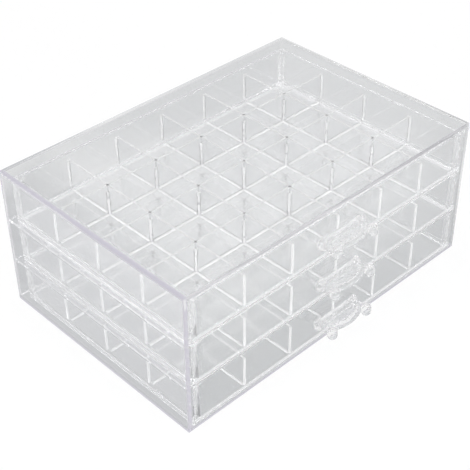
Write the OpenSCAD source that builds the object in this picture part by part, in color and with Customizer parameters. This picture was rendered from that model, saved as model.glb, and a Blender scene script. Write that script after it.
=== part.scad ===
// Clear earring box: a case open at the front, three drawers, and a grid of
// compartments in each drawer. Millimetres, +X to the right, +Y to the back, +Z up.
// The origin is the centre of the case's underside.

/* [Case] */
// Outside width of the case, left to right
case_w = 235; // [180:1:320]
// Outside depth of the case, front to back
case_d = 159; // [120:1:220]
// Thickness of the case's panels
case_wall = 2.5; // [2:0.1:4]
// Rounding of the case's upper edges and of its upright edges at the back
case_edge_r = 1.8; // [0.4:0.1:2]
// Rounding of the case's lower edges and of the edges round its open front
case_rim_r = 0.5; // [0.2:0.1:2]
// Free height between the top drawer's front and the top panel
headroom = 1.9; // [0.8:0.1:6]

/* [Runners] */
// How far a runner strip reaches in under a drawer
runner_reach = 2.9; // [2:0.1:5]
// Height of a runner strip
runner_h = 2.2; // [1.5:0.1:4]
// Distance from the back of the drawer fronts to the runners' front ends
runner_setback = 1; // [0.5:0.1:20]

/* [Drawers] */
// Height of a drawer front
drawer_h = 29.2; // [24:0.1:50]
// Thickness of a drawer's walls
drawer_wall = 2.2; // [1.5:0.1:3]
// Thickness of a drawer's floor
drawer_floor = 2.2; // [1.5:0.1:4]
// Radius between the floor and the side and back walls inside a drawer
floor_fillet = 2; // [1:0.1:8]
// Radius of a drawer's inner corners, seen from above
inner_corner_r = 5; // [3:0.1:12]
// Radius of a drawer's outer corners, seen from above
outer_corner_r = 2; // [0.5:0.1:4]

/* [Clearances] */
// Gap between one drawer front and the next
front_gap = 0.6; // [0.4:0.1:2]
// Gap between the ends of a drawer front and each side panel
side_gap = 0.4; // [0.3:0.1:1]
// Gap between a drawer's side walls and each side panel
body_gap = 3.1; // [1:0.1:6]
// Gap between a drawer's back and the back panel
back_gap = 3.1; // [0.3:0.1:6]
// Gap between a drawer's underside and what it slides on
slide_gap = 0.3; // [0.2:0.05:0.6]
// Gap between a drawer's side walls and the runners above them
rim_gap = 0.5; // [0.3:0.1:2]
// Gap between a divider's ends and the drawer's walls
divider_gap = 0.3; // [0.1:0.05:0.8]
// Gap on each side of a divider in a halving slot
lap_gap = 0.1; // [0.05:0.05:0.3]
// Gap round a handle's peg in the drawer front
peg_gap = 0.1; // [0.05:0.05:0.3]
// Gap between a divider's foot and the drawer's floor
seat_gap = 0.05; // [0.02:0.01:0.3]
// Thickness of the cement film between glued pieces
cement_gap = 0.05; // [0.02:0.01:0.2]

/* [Dividers] */
// Compartments across a drawer
columns = 6; // [3:1:8]
// Compartments from front to back
rows = 4; // [2:1:6]
// Thickness of a divider
divider_t = 1.3; // [1:0.1:2.2]
// Distance of the dividers' tops below the side walls' rims
divider_drop = 4.1; // [1:0.1:8]

/* [Handles] */
// Height of a handle's middle above the drawer's underside
handle_z = 12.3; // [8:0.1:16]
// Distance between the two arms of a handle
handle_span = 30; // [24:1:60]
// Distance from the drawer front to the outer knobs' middles
handle_reach = 11.6; // [9:0.1:20]
// Diameter of a knob
knob_d = 6.2; // [5:0.1:8]
// Height of a knob
knob_h = 8.6; // [8.2:0.1:12]
// Distance from the drawer front to the base knobs' middles
base_knob_out = 0.8; // [0.4:0.1:2]
// Diameter of an arm
arm_d = 4.4; // [3:0.1:5]
// Diameter of the curved lip between the arms
lip_d = 4; // [2.4:0.1:4.4]
// Distance from the drawer front to the lip's ends
lip_root = 6.1; // [5:0.1:9]
// How far the lip's middle stands out beyond its ends
lip_bulge = 5.2; // [3:0.1:9]
// Thickness of the web between the arms
web_t = 2.4; // [1.2:0.1:3]
// Thickness of the base bar against the drawer front
base_bar_t = 2.4; // [1.5:0.1:3.5]
// Height of the base bar
base_bar_h = 6; // [4:0.1:8]
// Diameter of the pegs that go through the drawer front
peg_d = 3.2; // [2:0.1:4]

/* [Hidden] */
$fn = 64;
drawer_names = ["bottom", "middle", "top"];
last_drawer = len(drawer_names) - 1;

case_clear = [0.86, 0.88, 0.93, 0.35];
drawer_clear = [0.90, 0.93, 0.93, 0.4];
divider_clear = [0.94, 0.96, 0.96, 0.5];
handle_clear = [0.97, 0.98, 0.98, 0.7];

drawer_pitch = drawer_h + front_gap;
case_h = 2 * case_wall + slide_gap + last_drawer * drawer_pitch + drawer_h + headroom;
edge_r = min(case_edge_r, case_wall);
rim_r = min(case_rim_r, case_wall);
front_y = -case_d / 2;
back_y = case_d / 2;
inside_w = case_w - 2 * case_wall;
inside_back_y = back_y - case_wall;
glued_w = inside_w - 2 * cement_gap;

drawer_w = inside_w - 2 * side_gap;
body_w = inside_w - 2 * body_gap;
drawer_back_y = inside_back_y - back_gap;
drawer_d = drawer_back_y - front_y;
side_h = drawer_pitch - slide_gap - runner_h - rim_gap;
cell_w = body_w - 2 * drawer_wall;
cell_d = drawer_d - 2 * drawer_wall;
cell_mid_y = (front_y + drawer_back_y) / 2;
fillet_r = min(floor_fillet, inner_corner_r);

column_pitch = (cell_w + divider_t) / columns;
row_pitch = (cell_d + divider_t) / rows;
divider_h = side_h - drawer_floor - divider_drop - seat_gap;
slot_w = divider_t + 2 * lap_gap;
slot_h = divider_h / 2 + lap_gap;

runner_w = body_gap + runner_reach;
runner_front_y = front_y + drawer_wall + runner_setback;
half_span = handle_span / 2;
lip_r = (half_span * half_span + lip_bulge * lip_bulge) / (2 * lip_bulge);
lip_angle = asin(half_span / lip_r);
lip_centre_out = lip_root + lip_bulge - lip_r;
peg_bore_d = peg_d + 2 * peg_gap;

// Length added to a cutting shape so that it passes right through
over = 1;

function runner_name(i, side) = str(drawer_names[i], "_runner_", side);
function row_divider_name(name, j) = str(name, "_row_divider_", j);
function column_divider_name(name, j) = str(name, "_column_divider_", j);

// Height of a drawer's underside, and of its floor's upper face
function drawer_z(i) = case_wall + slide_gap + i * drawer_pitch;
function floor_z(i) = drawer_z(i) + drawer_floor;

// Places of the dividers' middles
function column_x(j) = j * column_pitch - (cell_w + divider_t) / 2;
function row_y(j) = cell_mid_y + j * row_pitch - (cell_d + divider_t) / 2;

// Flat outline: a rectangle about the origin with round corners
module round_rect(w, h, r) {
    square([w - 2 * r, h], center = true);
    square([w, h - 2 * r], center = true);
    for (x = [-1, 1], y = [-1, 1])
        translate([x * (w / 2 - r), y * (h / 2 - r)])
            circle(r);
}

// Flat outline: a rectangle about the origin, its corners round by low left, low right, high right, high left
module corner_rect(w, h, radii) {
    ends = [[-1, -1], [1, -1], [1, 1], [-1, 1]];
    difference() {
        square([w, h], center = true);
        for (k = [0 : len(ends) - 1])
            translate([ends[k].x * w / 2, ends[k].y * h / 2])
                square(2 * radii[k], center = true);
    }
    for (k = [0 : len(ends) - 1])
        translate([ends[k].x * (w / 2 - radii[k]), ends[k].y * (h / 2 - radii[k])])
            circle(radii[k]);
}

// Flat outline: a strip that stands on the X axis, with its two lower corners round
module trough(w, h, r) {
    translate([-w / 2, r])
        square([w, h - r]);
    translate([-w / 2 + r, 0])
        square([w - 2 * r, h]);
    for (x = [-1, 1])
        translate([x * (w / 2 - r), r])
            circle(r);
}

// Flat outline: the same strip with only its lower corner at +X round
module scoop(w, h, r) {
    trough(w, h, r);
    translate([-w / 2, 0])
        square([w / 2, h]);
}

// Lays an outline that was drawn in X and Z, and gives it a thickness along Y
module along_y(t) {
    rotate([90, 0, 0])
        linear_extrude(t, center = true)
            children();
}

// Lays an outline that was drawn in Y and Z, and gives it a thickness along X
module along_x(t) {
    rotate([90, 0, 90])
        linear_extrude(t, center = true)
            children();
}

// The case's outside, with its edges round. Its front, at the low end of Y, has the sharper edges
module case_block() {
    intersection() {
        linear_extrude(case_h)
            corner_rect(case_w, case_d, [rim_r, rim_r, edge_r, edge_r]);
        translate([0, 0, case_h / 2])
            along_y(case_d)
                corner_rect(case_w, case_h, [rim_r, rim_r, edge_r, edge_r]);
        translate([0, 0, case_h / 2])
            along_x(case_w)
                corner_rect(case_d, case_h, [rim_r, rim_r, edge_r, rim_r]);
    }
}

// The part of the case's outside that lies between two corners
module case_panel(low, high) {
    color(case_clear)
        intersection() {
            case_block();
            translate(low)
                cube(high - low);
        }
}

module case_top() {
    case_panel([-glued_w / 2, front_y, case_h - case_wall], [glued_w / 2, back_y, case_h]);
}

module case_bottom() {
    case_panel([-glued_w / 2, front_y, 0], [glued_w / 2, back_y, case_wall]);
}

module case_left_side() {
    case_panel([-case_w / 2, front_y, 0], [-inside_w / 2, back_y, case_h]);
}

module case_right_side() {
    case_panel([inside_w / 2, front_y, 0], [case_w / 2, back_y, case_h]);
}

module case_back() {
    edge = case_wall + cement_gap;
    case_panel([-glued_w / 2, inside_back_y, edge], [glued_w / 2, back_y, case_h - edge]);
}

// A strip on the inside of a side panel, under the edge of drawer i
module runner(i, side) {
    x = side == "left" ? -glued_w / 2 : glued_w / 2 - runner_w;
    runner_d = inside_back_y - cement_gap - runner_front_y;
    color(case_clear)
        translate([x, runner_front_y, drawer_z(i) - slide_gap - runner_h])
            cube([runner_w, runner_d, runner_h]);
}

// The hollow of a drawer, with round corners and a round edge along its floor, except at the front
module tray_hollow(h) {
    intersection() {
        linear_extrude(h)
            round_rect(cell_w, cell_d, inner_corner_r);
        along_y(cell_d)
            trough(cell_w, h, fillet_r);
        along_x(cell_w)
            scoop(cell_d, h, fillet_r);
    }
}

// A moulded drawer. Its front is wider and higher than its other walls, which pass under the runners
module tray(i) {
    color(drawer_clear)
        translate([0, cell_mid_y, drawer_z(i)])
            difference() {
                union() {
                    linear_extrude(side_h)
                        round_rect(body_w, drawer_d, outer_corner_r);
                    intersection() {
                        linear_extrude(drawer_h)
                            round_rect(drawer_w, drawer_d, outer_corner_r);
                        translate([-drawer_w / 2, -drawer_d / 2, 0])
                            cube([drawer_w, drawer_wall, drawer_h]);
                    }
                }
                translate([0, 0, drawer_floor])
                    tray_hollow(drawer_h);
                for (x = [-half_span, half_span])
                    translate([x, -drawer_d / 2 + drawer_wall / 2, handle_z])
                        rotate([90, 0, 0])
                            cylinder(d = peg_bore_d, h = drawer_wall + 2 * over, center = true);
            }
}

// A long divider, left to right, with slots in its upper half for the cross dividers
module row_divider(i, j) {
    color(divider_clear)
        translate([0, row_y(j), floor_z(i) + seat_gap])
            along_y(divider_t)
                difference() {
                    trough(cell_w - 2 * divider_gap, divider_h, fillet_r);
                    for (k = [1 : columns - 1])
                        translate([column_x(k) - slot_w / 2, divider_h - slot_h])
                            square([slot_w, slot_h + over]);
                }
}

// A cross divider, front to back, with slots in its lower half for the long dividers
module column_divider(i, j) {
    color(divider_clear)
        translate([column_x(j), cell_mid_y, floor_z(i) + seat_gap])
            along_x(divider_t)
                difference() {
                    scoop(cell_d - 2 * divider_gap, divider_h, fillet_r);
                    for (k = [1 : rows - 1])
                        translate([row_y(k) - cell_mid_y - slot_w / 2, -over])
                            square([slot_w, slot_h + over]);
                }
}

// An upright bead with domed ends, about its own middle
module knob() {
    straight_h = knob_h - knob_d;
    rotate_extrude()
        intersection() {
            translate([0, -knob_h / 2])
                square([knob_d / 2, knob_h]);
            union() {
                square([knob_d, straight_h], center = true);
                for (z = [-1, 1])
                    translate([0, z * straight_h / 2])
                        circle(d = knob_d);
            }
        }
}

// One arm with its outer knob, its base knob and its peg. It starts at the drawer front and runs along -Y
module handle_arm() {
    translate([0, -cement_gap, 0])
        rotate([90, 0, 0])
            cylinder(d = arm_d, h = handle_reach - cement_gap);
    translate([0, -handle_reach, 0])
        knob();
    intersection() {
        translate([0, -base_knob_out, 0])
            knob();
        translate([-knob_d / 2, -knob_d - base_knob_out, -knob_h / 2])
            cube([knob_d, knob_d + base_knob_out - cement_gap, knob_h]);
    }
    translate([0, drawer_wall, 0])
        rotate([90, 0, 0])
            cylinder(d = peg_d, h = drawer_wall + over);
}

// The curved lip that joins the two arms
module handle_lip() {
    translate([0, -lip_centre_out, 0])
        rotate([0, 0, -90 - lip_angle])
            rotate_extrude(angle = 2 * lip_angle)
                translate([lip_r, 0])
                    circle(d = lip_d);
}

// The flat web inside the lip, and the bar along the drawer front
module handle_web() {
    translate([0, 0, -web_t / 2])
        linear_extrude(web_t)
            intersection() {
                translate([-half_span, -lip_root - lip_bulge])
                    square([handle_span, lip_root + lip_bulge - cement_gap]);
                translate([0, -lip_centre_out])
                    circle(lip_r);
            }
    translate([-half_span, -base_bar_t, -base_bar_h / 2])
        cube([handle_span, base_bar_t - cement_gap, base_bar_h]);
}

module handle(i) {
    color(handle_clear)
        translate([0, front_y, drawer_z(i) + handle_z]) {
            for (x = [-half_span, half_span])
                translate([x, 0, 0])
                    handle_arm();
            handle_lip();
            handle_web();
        }
}

case_top();
case_bottom();
case_left_side();
case_right_side();
case_back();

for (i = [1 : last_drawer], side = ["left", "right"])
    runner(i, side);

for (i = [0 : last_drawer]) {
    tray(i);
    handle(i);
    for (j = [1 : rows - 1])
        row_divider(i, j);
    for (j = [1 : columns - 1])
        column_divider(i, j);
}
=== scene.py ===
import math
import bmesh
import bpy
from mathutils import Matrix, Vector


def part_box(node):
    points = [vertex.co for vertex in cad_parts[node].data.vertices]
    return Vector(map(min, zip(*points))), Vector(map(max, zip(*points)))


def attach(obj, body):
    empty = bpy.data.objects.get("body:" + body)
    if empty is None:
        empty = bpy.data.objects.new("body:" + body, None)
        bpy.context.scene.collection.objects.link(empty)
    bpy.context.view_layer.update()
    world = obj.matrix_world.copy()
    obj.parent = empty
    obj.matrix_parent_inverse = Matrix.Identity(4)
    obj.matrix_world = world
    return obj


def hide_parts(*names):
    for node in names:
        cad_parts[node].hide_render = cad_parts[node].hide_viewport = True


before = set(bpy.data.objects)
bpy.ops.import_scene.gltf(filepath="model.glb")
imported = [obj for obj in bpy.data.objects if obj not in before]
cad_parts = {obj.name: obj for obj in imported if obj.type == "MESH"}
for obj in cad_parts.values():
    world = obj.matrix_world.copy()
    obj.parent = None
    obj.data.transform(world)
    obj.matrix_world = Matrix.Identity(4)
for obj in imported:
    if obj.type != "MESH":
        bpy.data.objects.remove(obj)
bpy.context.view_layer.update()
print("earring box: frame loaded,", len(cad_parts), "pieces")

drawerNames = ("bottom", "middle", "top")
mm = 0.001
fullRange = (0.0, 1.0)


# small helpers for node trees

def newTree(owner):
    owner.use_nodes = True
    owner.node_tree.nodes.clear()
    return owner.node_tree


def addNode(tree, kind, **values):
    node = tree.nodes.new(kind)
    for key, value in values.items():
        setattr(node, key, value)
    return node


def setInputs(node, **values):
    for key, value in values.items():
        node.inputs[key.replace("_", " ")].default_value = value
    return node


def colourMix(tree, factor, first, second):
    node = addNode(tree, "ShaderNodeMix", data_type="RGBA")
    tree.links.new(factor, node.inputs["Factor"])
    sockets = [socket for socket in node.inputs if socket.type == "RGBA"]
    for socket, colour in zip(sockets, (first, second)):
        if isinstance(colour, tuple):
            socket.default_value = (*colour, 1)
        else:
            tree.links.new(colour, socket)
    return next(socket for socket in node.outputs if socket.type == "RGBA")


def joined(tree, operation, first, second):
    node = addNode(tree, "ShaderNodeMath", operation=operation)
    tree.links.new(first, node.inputs[0])
    if isinstance(second, float):
        node.inputs[1].default_value = second
    else:
        tree.links.new(second, node.inputs[1])
    return node.outputs[0]


def between(tree, factor, ends=fullRange, span=fullRange):
    node = addNode(tree, "ShaderNodeMapRange")
    setInputs(node, From_Min=span[0], From_Max=span[1], To_Min=ends[0], To_Max=ends[1])
    tree.links.new(factor, node.inputs["Value"])
    return node.outputs["Result"]


def noise(tree, coords, scale, detail):
    node = setInputs(addNode(tree, "ShaderNodeTexNoise"), Scale=scale, Detail=detail)
    tree.links.new(coords.outputs["Object"], node.inputs["Vector"])
    return node.outputs["Fac"]


def bumped(tree, height, strength, depth):
    node = setInputs(addNode(tree, "ShaderNodeBump"), Strength=strength, Distance=depth)
    tree.links.new(height, node.inputs["Height"])
    return node


# camera at the photograph's viewing angle

cameraLook = dict(
    azimuth=-43.813,                    # degrees, 0 looks along +Y
    elevation=37.493,
    roll=-0.523,
    distance=0.67361,                   # metres from the target
    target=(0, 0, 0.05),
    slide=(-0.003681, -0.016536),       # along the picture's right and up
    lens=83.64,                         # millimetres
    sensor=36,
)


def makeCamera(look):
    turn, lift, roll = (math.radians(look[key]) for key in ("azimuth", "elevation", "roll"))
    back = Vector((math.sin(turn) * math.cos(lift), -math.cos(turn) * math.cos(lift), math.sin(lift)))
    level = Vector((math.cos(turn), math.sin(turn), 0))
    upright = back.cross(level)
    right = math.cos(roll) * level + math.sin(roll) * upright
    up = math.cos(roll) * upright - math.sin(roll) * level
    place = Vector(look["target"]) + look["distance"] * back
    place += look["slide"][0] * right + look["slide"][1] * up
    data = bpy.data.cameras.new("camera")
    data.sensor_width = look["sensor"]
    data.lens = look["lens"]
    camera = bpy.data.objects.new("camera", data)
    camera.matrix_world = Matrix.Translation(place) @ Matrix((right, up, back)).transposed().to_4x4()
    bpy.context.scene.collection.objects.link(camera)
    bpy.context.scene.camera = camera


makeCamera(cameraLook)
print("earring box: camera set")


# studio: white paper floor for the camera, which through the plastic shows a painted shadow of the box and
# painted light farther in; an even pale room, soft boxes above and to the sides

studioLook = dict(
    floorSize=6.0,
    floorColour=(0.9, 0.9, 0.9, 1),
    white=(1, 1, 1, 1),
    cameraGlow=0.8,                     # share of plain white in what the camera sees of the floor
    paperPaintedShadow=(0.5, 0.512, 0.52),      # painted shadow of the box: the floor through the plastic, near the front and left edges
    paperPaintedLight=(0.92, 0.92, 0.912),   # and farther in, a painted pool of light
    paperPaintedShadeFar=(0.66, 0.67, 0.674),       # and behind the box, painted shade
    paperBeside=(0.88, 0.88, 0.885),    # and in front of the box and to the left of it
    paperPaintedShadeRim=(0.62, 0.605, 0.67),       # and right under the front and left walls, painted shade in lavender
    shadeStart=(0.028, -0.01),          # where the painted shadow starts to lift, metres in from the left edge, and from the front edge
    shadeReach=(0.09, 0.12),            # metres from there to where the shade ends, for each edge
    shadeCurve=1.9,
    shadeEnd=(0.09, 0.13),              # it also fades between these, metres past the back and right edges
    farReach=(0.26, 0.46),              # near and far end of the fade, metres in from both edges, added up
    rimReach=(0.0025, 0.0035),          # the same for the rim, metres in from an edge
    besideFade=0.001,                   # metres out from an edge
    paperLight=(0.9, 0.9, 0.9),         # the floor as it lights matt surfaces
    roomLight=(0.9, 0.9, 0.9),          # the room as it lights matt surfaces
    room=(0.66, 0.66, 0.67),            # the room as it shows in and through the clear plastic
    window=(0.92, 0.92, 0.92),          # bright side of the room, behind the box
    windowPlace=(0.55, 0.57, 0.61),
    windowEdge=(0.82, 0.93),            # cosines where the bright side starts and is full
    dusk=(0.2, 0.2, 0.22),              # dim corners of the room, low down
    duskPlaces=((1.0, 0.0, 0.2), (0.0, 1.0, 0.2)),
    duskEdge=(0.95, 0.98),
)

# overhead, and low in front and to the left; glow is the brightness of the lamp's face
lampLooks = (
    dict(name="softbox_above", place=(0.0, 0.0, 1.6), size=1.6, glow=0.8),
    dict(name="softbox_front", place=(0.0, -1.5, 0.36), size=0.4, glow=10.0),
    dict(name="softbox_left", place=(-1.5, 0.0, 0.36), size=0.4, glow=10.0),
)


def nearness(tree, coords, place, edge):
    angle = addNode(tree, "ShaderNodeVectorMath", operation="DOT_PRODUCT")
    tree.links.new(coords.outputs["Generated"], angle.inputs[0])
    angle.inputs[1].default_value = Vector(place).normalized()
    patch = addNode(tree, "ShaderNodeMapRange", interpolation_type="SMOOTHSTEP")
    setInputs(patch, From_Min=edge[0], From_Max=edge[1])
    tree.links.new(angle.outputs["Value"], patch.inputs["Value"])
    return patch.outputs["Result"]


def onMatt(tree):
    path = addNode(tree, "ShaderNodeLightPath")
    return joined(tree, "MINIMUM", path.outputs["Diffuse Depth"], 1.0)


def cameraMix(tree, others, inCamera):
    path = addNode(tree, "ShaderNodeLightPath")
    mix = addNode(tree, "ShaderNodeMixShader")
    tree.links.new(path.outputs["Is Camera Ray"], mix.inputs[0])
    tree.links.new(others.outputs[0], mix.inputs[1])
    tree.links.new(inCamera.outputs[0], mix.inputs[2])
    return mix.outputs[0]


def makeWorld(look):
    world = bpy.data.worlds.new("studio")
    bpy.context.scene.world = world
    tree = newTree(world)
    coords = addNode(tree, "ShaderNodeTexCoord")
    window = nearness(tree, coords, look["windowPlace"], look["windowEdge"])
    light = colourMix(tree, window, look["room"], look["window"])
    for place in look["duskPlaces"]:
        light = colourMix(tree, nearness(tree, coords, place, look["duskEdge"]), light, look["dusk"])
    light = colourMix(tree, onMatt(tree), light, look["roomLight"])
    room = addNode(tree, "ShaderNodeBackground")
    tree.links.new(light, room.inputs["Color"])
    white = setInputs(addNode(tree, "ShaderNodeBackground"), Color=look["white"])
    output = addNode(tree, "ShaderNodeOutputWorld")
    tree.links.new(cameraMix(tree, room, white), output.inputs["Surface"])


# the floor as the plastic shows it: a painted shadow of the box near its front and left edges, painted
# light farther in, painted shade behind the box and right under the walls, plain paper beside it
def paperSeen(tree, corner, farCorner, look):
    coords = addNode(tree, "ShaderNodeTexCoord")
    place = addNode(tree, "ShaderNodeSeparateXYZ")
    tree.links.new(coords.outputs["Object"], place.inputs[0])
    shares, rims, unders = [], [], []
    for axis in range(2):
        inward, sideways = place.outputs[axis], place.outputs[1 - axis]
        edge = corner[axis]
        first = edge + look["shadeStart"][axis]
        ramp = between(tree, inward, span=(first, first + look["shadeReach"][axis]))
        curve = joined(tree, "POWER", ramp, look["shadeCurve"])
        past = between(tree, sideways, span=[farCorner[1 - axis] + part for part in look["shadeEnd"]])
        shares.append(joined(tree, "MAXIMUM", curve, past))
        rims.append(between(tree, inward, span=[edge + part for part in look["rimReach"]]))
        unders.append(between(tree, inward, span=(edge - look["besideFade"], edge)))
    both = joined(tree, "ADD", place.outputs[0], place.outputs[1])
    far = between(tree, both, span=[corner[0] + corner[1] + part for part in look["farReach"]])
    inner = colourMix(tree, far, look["paperPaintedLight"], look["paperPaintedShadeFar"])
    shade = colourMix(tree, joined(tree, "MINIMUM", *shares), look["paperPaintedShadow"], inner)
    under = colourMix(tree, joined(tree, "MINIMUM", *rims), look["paperPaintedShadeRim"], shade)
    return colourMix(tree, joined(tree, "MINIMUM", *unders), look["paperBeside"], under)


def makeFloor(look):
    half = look["floorSize"] / 2
    corners = [(-half, -half, 0), (half, -half, 0), (half, half, 0), (-half, half, 0)]
    mesh = bpy.data.meshes.new("studio_floor")
    mesh.from_pydata(corners, [], [(0, 1, 2, 3)])
    floor = bpy.data.objects.new("studio_floor", mesh)
    bpy.context.scene.collection.objects.link(floor)
    material = bpy.data.materials.new("studio_paper")
    tree = newTree(material)
    paper = setInputs(addNode(tree, "ShaderNodeBsdfDiffuse"), Color=look["floorColour"])
    white = setInputs(addNode(tree, "ShaderNodeEmission"), Color=look["white"])
    inCamera = addNode(tree, "ShaderNodeMixShader")
    inCamera.inputs[0].default_value = look["cameraGlow"]
    tree.links.new(paper.outputs[0], inCamera.inputs[1])
    tree.links.new(white.outputs[0], inCamera.inputs[2])
    # what the plastic shows of the floor glows with the painted shadow and painted light; matt surfaces
    # get the plain floor light
    through = addNode(tree, "ShaderNodeEmission")
    seen = paperSeen(tree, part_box("case_left_side")[0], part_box("case_right_side")[1], look)
    tree.links.new(colourMix(tree, onMatt(tree), seen, look["paperLight"]), through.inputs["Color"])
    output = addNode(tree, "ShaderNodeOutputMaterial")
    tree.links.new(cameraMix(tree, through, inCamera), output.inputs["Surface"])
    mesh.materials.append(material)


def makeLamp(look):
    data = bpy.data.lights.new(look["name"], "AREA")
    data.shape = "SQUARE"
    data.size = look["size"]
    data.energy = look["glow"] * math.pi * look["size"] ** 2
    lamp = bpy.data.objects.new(look["name"], data)
    lamp.location = look["place"]
    aim = Vector(cameraLook["target"]) - lamp.location
    lamp.rotation_euler = aim.to_track_quat("-Z", "Y").to_euler()
    lamp.visible_camera = False
    lamp.visible_glossy = False         # fewer white squares mirrored in the flat panels
    bpy.context.scene.collection.objects.link(lamp)


makeWorld(studioLook)
makeFloor(studioLook)
for lampLook in lampLooks:
    makeLamp(lampLook)
scene = bpy.context.scene
scene.view_settings.view_transform = "Standard"
scene.cycles.max_bounces = 256          # a line of sight crosses some thirty clear faces
scene.cycles.transmission_bounces = 128
scene.cycles.glossy_bounces = 256
scene.cycles.blur_glossy = 0.0          # light stays sharp on its way through the clear sheets
print("earring box: studio set")


# clear plastics: a cloudy tint, painted shade as another tint at round edges and on faces that look
# forward, fine grain in the gloss

# painted shade: the case's round edges tinted darker and lavender
caseEdge = (0.94, 0.935, 0.96)
drawerTints = dict(tint=(0.991, 0.993, 0.994), shade=(0.988, 0.99, 0.992), edge=(0.99, 0.992, 0.993))

plasticLooks = dict(
    clear_case=dict(tint=(0.987, 0.987, 0.994), shade=(0.983, 0.983, 0.991), edge=caseEdge),
    # painted light: the top panel tinted lighter than the other case panels; painted shade: its faces that
    # look forward tinted darker
    clear_top=dict(tint=(0.998, 0.998, 1.0), shade=(0.995, 0.995, 0.998), edge=caseEdge,
                   front=(0.77, 0.765, 0.79)),
    # painted shade: the back panel tinted darker than the other case panels
    clear_back=dict(tint=(0.955, 0.957, 0.965), shade=(0.95, 0.952, 0.962), edge=caseEdge),
    clear_drawer=drawerTints,
    clear_divider=dict(tint=(0.995, 0.996, 0.997), shade=(0.992, 0.994, 0.995),
                       edge=(0.994, 0.995, 0.996)),
    clear_handle=dict(tint=(0.995, 0.995, 0.996), shade=(0.992, 0.992, 0.994),
                      edge=(0.994, 0.994, 0.995), flatGloss=0.2, ripple=0.25),
    frosted_floor=dict(drawerTints, gloss=(0.22, 0.28)),
    frosted_round=dict(drawerTints, gloss=(0.2, 0.3)),
    # painted highlight: a partly opaque pale band along the drawer's front at the floor's height
    painted_front_highlight=dict(tint=(0.9, 0.905, 0.91), shade=(0.87, 0.88, 0.885), edge=(0.92, 0.925, 0.93),
                    gloss=(0.2, 0.3), clear=0.55),
)

# used where a look above says nothing
plasticFinish = dict(
    front=None,                         # tint of faces that look forward, a painted shade
    clear=1.0,
    index=1.49,
    gloss=(0.0, 0.006),                 # least and most roughness
    grain=900.0,
    grainDetail=4.0,
    grainSpan=(0.35, 0.75),
    flatGloss=0.0,                      # roughness added on flat faces
    cloud=35.0,
    cloudDetail=3.0,
    wave=0.008,                         # slow waves in the sheets
    waveDepth=2 * mm,
    ripple=0.0,                         # small facets
    rippleScale=650.0,
    rippleDepth=1 * mm,
    roundEdge=(0.998, 0.98),            # largest part of the normal where round starts and is full
    frontEdge=(-0.2, -0.6),             # the normal along Y where the front's tint starts and is full
)


def onRound(tree, edge):
    shape = addNode(tree, "ShaderNodeNewGeometry")
    sizes = addNode(tree, "ShaderNodeVectorMath", operation="ABSOLUTE")
    tree.links.new(shape.outputs["Normal"], sizes.inputs[0])
    parts = addNode(tree, "ShaderNodeSeparateXYZ")
    tree.links.new(sizes.outputs[0], parts.inputs[0])
    largest = parts.outputs[0]
    for part in parts.outputs[1:]:
        largest = joined(tree, "MAXIMUM", largest, part)
    return between(tree, largest, span=edge)


def onFront(tree, edge):
    shape = addNode(tree, "ShaderNodeNewGeometry")
    parts = addNode(tree, "ShaderNodeSeparateXYZ")
    tree.links.new(shape.outputs["Normal"], parts.inputs[0])
    return between(tree, parts.outputs[1], span=edge)


def clearPlastic(name, look):
    finish = {**plasticFinish, **look}
    material = bpy.data.materials.new(name + "_plastic")
    tree = newTree(material)
    link = tree.links.new
    coords = addNode(tree, "ShaderNodeTexCoord")
    cloud = noise(tree, coords, finish["cloud"], finish["cloudDetail"])
    grain = noise(tree, coords, finish["grain"], finish["grainDetail"])
    bump = bumped(tree, cloud, finish["wave"], finish["waveDepth"])
    if finish["ripple"]:
        facets = setInputs(addNode(tree, "ShaderNodeTexVoronoi"), Scale=finish["rippleScale"])
        link(coords.outputs["Object"], facets.inputs["Vector"])
        waves = bump
        bump = bumped(tree, facets.outputs["Distance"], finish["ripple"], finish["rippleDepth"])
        link(waves.outputs["Normal"], bump.inputs["Normal"])
    rounded = onRound(tree, finish["roundEdge"])
    colour = colourMix(tree, cloud, finish["tint"], finish["shade"])
    # painted shade: another tint on round faces
    colour = colourMix(tree, rounded, colour, finish["edge"])
    # painted shade on faces that look forward
    if finish["front"]:
        colour = colourMix(tree, onFront(tree, finish["frontEdge"]), colour, finish["front"])
    gloss = between(tree, grain, finish["gloss"], finish["grainSpan"])
    if finish["flatGloss"]:
        gloss = joined(tree, "ADD", gloss, between(tree, rounded, (finish["flatGloss"], 0.0)))
    plastic = addNode(tree, "ShaderNodeBsdfPrincipled")
    setInputs(plastic, Transmission_Weight=finish["clear"], IOR=finish["index"])
    link(colour, plastic.inputs["Base Color"])
    link(gloss, plastic.inputs["Roughness"])
    link(bump.outputs["Normal"], plastic.inputs["Normal"])
    link(plastic.outputs[0], addNode(tree, "ShaderNodeOutputMaterial").inputs["Surface"])
    return material


# opaque pale plastics: cement at the crossings, and painted highlights, painted light and painted shade
# for the strips' feet, ends and tops, the lower rims and the lines low on the drawers' sides

cementAndPaintedLightLooks = dict(
    # painted highlight: pale beads where the strips meet the floor and the far wall
    painted_foot_highlight=dict(pale=(0.8, 0.803, 0.804), dull=(0.75, 0.754, 0.756)),
    # painted shade: the strips' tops in the top drawer, an opaque grey at the tone the clear plastic shows
    satin_edge=dict(pale=(0.7, 0.703, 0.706), dull=(0.66, 0.664, 0.668), rough=(0.35, 0.55)),
    # painted highlight at the strips' near ends; painted light on the strips' tops and the rims in the
    # lower drawers, which the drawer above shades
    painted_light_pale=dict(pale=(0.86, 0.863, 0.866), dull=(0.81, 0.813, 0.816)),
    cement_bead=dict(pale=(0.83, 0.833, 0.836), dull=(0.5, 0.5, 0.51), rough=(0.35, 0.55),
                     grain=420.0, dullSpan=(0.56, 0.66)),
    # painted highlight: pale lines low on the drawers' sides
    painted_highlight_line=dict(pale=(0.87, 0.873, 0.876), dull=(0.83, 0.833, 0.836), grain=900.0),
)

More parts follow.
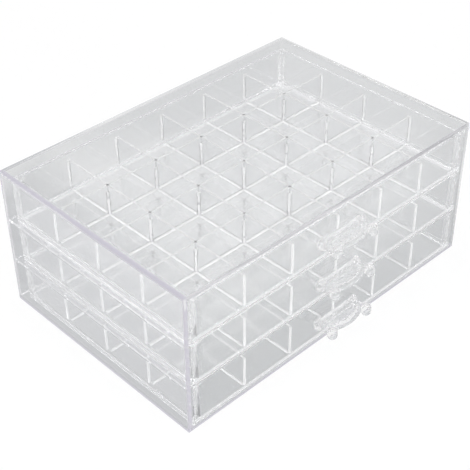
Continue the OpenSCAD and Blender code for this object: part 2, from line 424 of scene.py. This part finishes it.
# used where a look above says nothing
cementAndPaintedLightFinish = dict(
    rough=(0.45, 0.75),
    grain=1400.0,
    grainDetail=5.0,
    dullSpan=fullRange,                 # part of the grain over which pale turns dull
    bump=0.3,
    bumpDepth=0.2 * mm,
    index=1.49,
)


def cementAndPaintedLightPlastic(name, look):
    finish = {**cementAndPaintedLightFinish, **look}
    material = bpy.data.materials.new(name)
    tree = newTree(material)
    link = tree.links.new
    coords = addNode(tree, "ShaderNodeTexCoord")
    grain = noise(tree, coords, finish["grain"], finish["grainDetail"])
    bump = bumped(tree, grain, finish["bump"], finish["bumpDepth"])
    dullness = between(tree, grain, span=finish["dullSpan"])
    plastic = setInputs(addNode(tree, "ShaderNodeBsdfPrincipled"), IOR=finish["index"])
    link(colourMix(tree, dullness, finish["pale"], finish["dull"]), plastic.inputs["Base Color"])
    link(between(tree, grain, finish["rough"]), plastic.inputs["Roughness"])
    link(bump.outputs["Normal"], plastic.inputs["Normal"])
    link(plastic.outputs[0], addNode(tree, "ShaderNodeOutputMaterial").inputs["Surface"])
    return material


finishes = {name: clearPlastic(name, look) for name, look in plasticLooks.items()}
finishes.update({name: cementAndPaintedLightPlastic(name, look) for name, look in cementAndPaintedLightLooks.items()})
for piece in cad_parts.values():
    for slot in piece.material_slots:
        slot.material = finishes[slot.material.name]
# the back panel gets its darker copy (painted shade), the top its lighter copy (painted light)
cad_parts["case_back"].material_slots[0].material = finishes["clear_back"]
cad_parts["case_top"].material_slots[0].material = finishes["clear_top"]
print("earring box: plastics made")


def addPiece(shell, name, finishNames):
    mesh = bpy.data.meshes.new(name + "_look")
    shell.to_mesh(mesh)
    shell.free()
    for finishName in finishNames:
        mesh.materials.append(finishes[finishName])
    piece = bpy.data.objects.new(name + "_look", mesh)
    bpy.context.scene.collection.objects.link(piece)
    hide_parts(name)
    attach(piece, name.split("_")[0] + "_drawer")


# drawers: clear walls, a frosted underside, a milky band along the front's foot and pale lines low on the
# sides, both painted highlights; the lower drawers' rims painted lighter, a painted light

trayLook = dict(
    mergeReach=0.001 * mm,
    frontBand=(1.5 * mm, 3.9 * mm),     # heights of the painted highlight band, above the drawer's underside
    # heights of the painted highlight lines on the sides, above the drawer's underside
    sideLines=((0.0, 0.5 * mm), (3.2 * mm, 3.7 * mm)),
    frontReach=1 * mm,                  # the front's face lies this near the foremost point
    rimReach=4 * mm,                    # the rims lie this near the top of the drawer
    roundReach=5 * mm,                  # the round edge along the floor lies this near the underside
    flat=0.999,                         # largest part of the normal from which a face is flat
    upright=0.05,                       # upward part of the normal below which a round corner is upright
    # the top drawer's rims are frosted; the lower drawers' rims are painted lighter, a painted light
    topRim="frosted_floor",
    lowerRim="painted_light_pale",
)


def cutFaces(shell, faces, height):
    geometry = set(faces)
    for face in faces:
        geometry.update(face.verts)
        geometry.update(face.edges)
    bmesh.ops.bisect_plane(shell, geom=list(geometry), plane_co=(0, 0, height), plane_no=(0, 0, 1))


def within(value, band):
    return band[0] < value < band[1]


def makeTray(name, look):
    low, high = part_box(name)
    rimFinish = look["topRim"] if name.startswith("top") else look["lowerRim"]
    finishNames = ("clear_drawer", "frosted_floor", rimFinish,
                   "painted_front_highlight", "painted_highlight_line", "frosted_round")
    underside, rim, foot, sideLine, roundEdge = range(1, len(finishNames))      # 0 stays clear
    flat = look["flat"]
    shell = bmesh.new()
    shell.from_mesh(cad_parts[name].data)
    bmesh.ops.remove_doubles(shell, verts=shell.verts, dist=look["mergeReach"])
    shell.normal_update()

    def isFront(face):
        return face.normal.y < -flat and face.calc_center_median().y < low.y + look["frontReach"]

    def isSide(face):
        outward = math.copysign(1, face.calc_center_median().x)
        return face.normal.x * outward > flat

    for height in look["frontBand"]:
        cutFaces(shell, [face for face in shell.faces if isFront(face)], low.z + height)
    for height in sum(look["sideLines"], ()):
        cutFaces(shell, [face for face in shell.faces if isSide(face)], low.z + height)
    for face in shell.faces:
        middle = face.calc_center_median()
        height = middle.z - low.z
        face.smooth = max(abs(part) for part in face.normal) < flat
        if face.normal.z < -flat:
            face.material_index = underside
        elif face.normal.z > flat and middle.z > high.z - look["rimReach"]:
            face.material_index = rim
        elif isFront(face) and within(height, look["frontBand"]):
            face.material_index = foot
        elif isSide(face) and any(within(height, line) for line in look["sideLines"]):
            face.material_index = sideLine
        elif face.smooth and (height < look["roundReach"] or abs(face.normal.z) < look["upright"]):
            face.material_index = roundEdge
    addPiece(shell, name, finishNames)


for drawer in drawerNames:
    makeTray(drawer + "_tray", trayLook)
print("earring box: drawers made")


# divider strips: polished faces, painted highlights at the near ends and in beads along the floor and the
# far wall, beads of cement at the crossings, tops in a painted tone

dividerLook = dict(
    corner=2 * mm,                      # lower corners that clear the round edge of the drawer's floor
    end=0.9 * mm,                       # width of the near end, a painted highlight
    film=0.05 * mm,                     # air between the clear body and what is whitened
    bead=0.9 * mm,                      # width of a bead
    beadTop=0.8,                        # share of the strip's height that a bead climbs at a crossing
    facingUp=0.9,                       # upward part of the normal from which a face is the strip's top
)
dividerFinishes = ("clear_divider", "painted_foot_highlight", "satin_edge", "painted_light_pale", "cement_bead")
clear, footHighlight, satin, paintedLight, cement = range(len(dividerFinishes))     # places in that list


def addPrism(shell, corners, sweep, finish):
    near = [shell.verts.new(corner) for corner in corners]
    far = [shell.verts.new(corner + sweep) for corner in corners]
    faces = [shell.faces.new(near), shell.faces.new(far)]
    for index, corner in enumerate(near):
        after = (index + 1) % len(near)
        faces.append(shell.faces.new((corner, near[after], far[after], far[index])))
    bmesh.ops.recalc_face_normals(shell, faces=faces)
    for face in faces:
        face.material_index = finish
    return faces


def makeDivider(name, axis, look, crossings=()):
    low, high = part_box(name)
    along, across, upward = Vector((1 - axis, axis, 0)), Vector((axis, 1 - axis, 0)), Vector((0, 0, 1))
    bead, cut, end, film = (look[key] for key in ("bead", "corner", "end", "film"))
    length, top = (high - low).dot(along), high.z - low.z
    thick = (high - low).dot(across) * across
    strip = bmesh.new()

    def place(run, height):
        return low + run * along + height * upward

    # the clear body; a strip from the front wall has no cut at its near end
    first = end + film
    base = cut if axis == 0 else 0
    start = max(base, first)
    outline = [place(start, 0), place(length - cut, 0), place(length, cut),
               place(length, top), place(first, top)]
    if start > first:
        outline.insert(0, place(first, start - first))
    for face in addPrism(strip, outline, thick, clear):
        # the strip's top: painted shade in the top drawer, painted light in the lower ones
        if face.normal.z > look["facingUp"]:
            face.material_index = satin if name.startswith("top") else paintedLight

    # the near end, a painted highlight, then the beads on both faces: painted highlights along the floor
    # and the far wall, cement at the crossings
    bar = (place(0, base), place(end, base), place(end, top), place(0, top))
    addPrism(strip, bar, thick, paintedLight)
    for side, face in ((-1, -film * across), (1, thick + film * across)):
        out = side * bead * across
        foot = place(start, 0) + face
        addPrism(strip, (foot, foot + out, foot + bead * upward), (length - cut - start) * along, footHighlight)
        wall = place(length, cut) + face
        addPrism(strip, (wall, wall + out, wall - bead * along), (top - cut) * upward, footHighlight)
        for crossing in crossings:
            for turn in (-1, 1):
                corner = place(crossing - low[axis] + turn * (thick.length / 2 + film), 0) + face
                section = (corner, corner + out, corner + turn * bead * along)
                addPrism(strip, section, look["beadTop"] * top * upward, cement)
    addPiece(strip, name, dividerFinishes)


for drawer in drawerNames:
    rowNames = sorted(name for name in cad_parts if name.startswith(drawer + "_row_divider"))
    columnNames = sorted(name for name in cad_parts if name.startswith(drawer + "_column_divider"))
    columnPlaces = [sum(corner.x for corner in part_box(name)) / 2 for name in columnNames]
    for name in rowNames:
        makeDivider(name, 0, dividerLook, columnPlaces)
    for name in columnNames:
        makeDivider(name, 1, dividerLook)
print("earring box: divider strips made")


print("earring box: done")
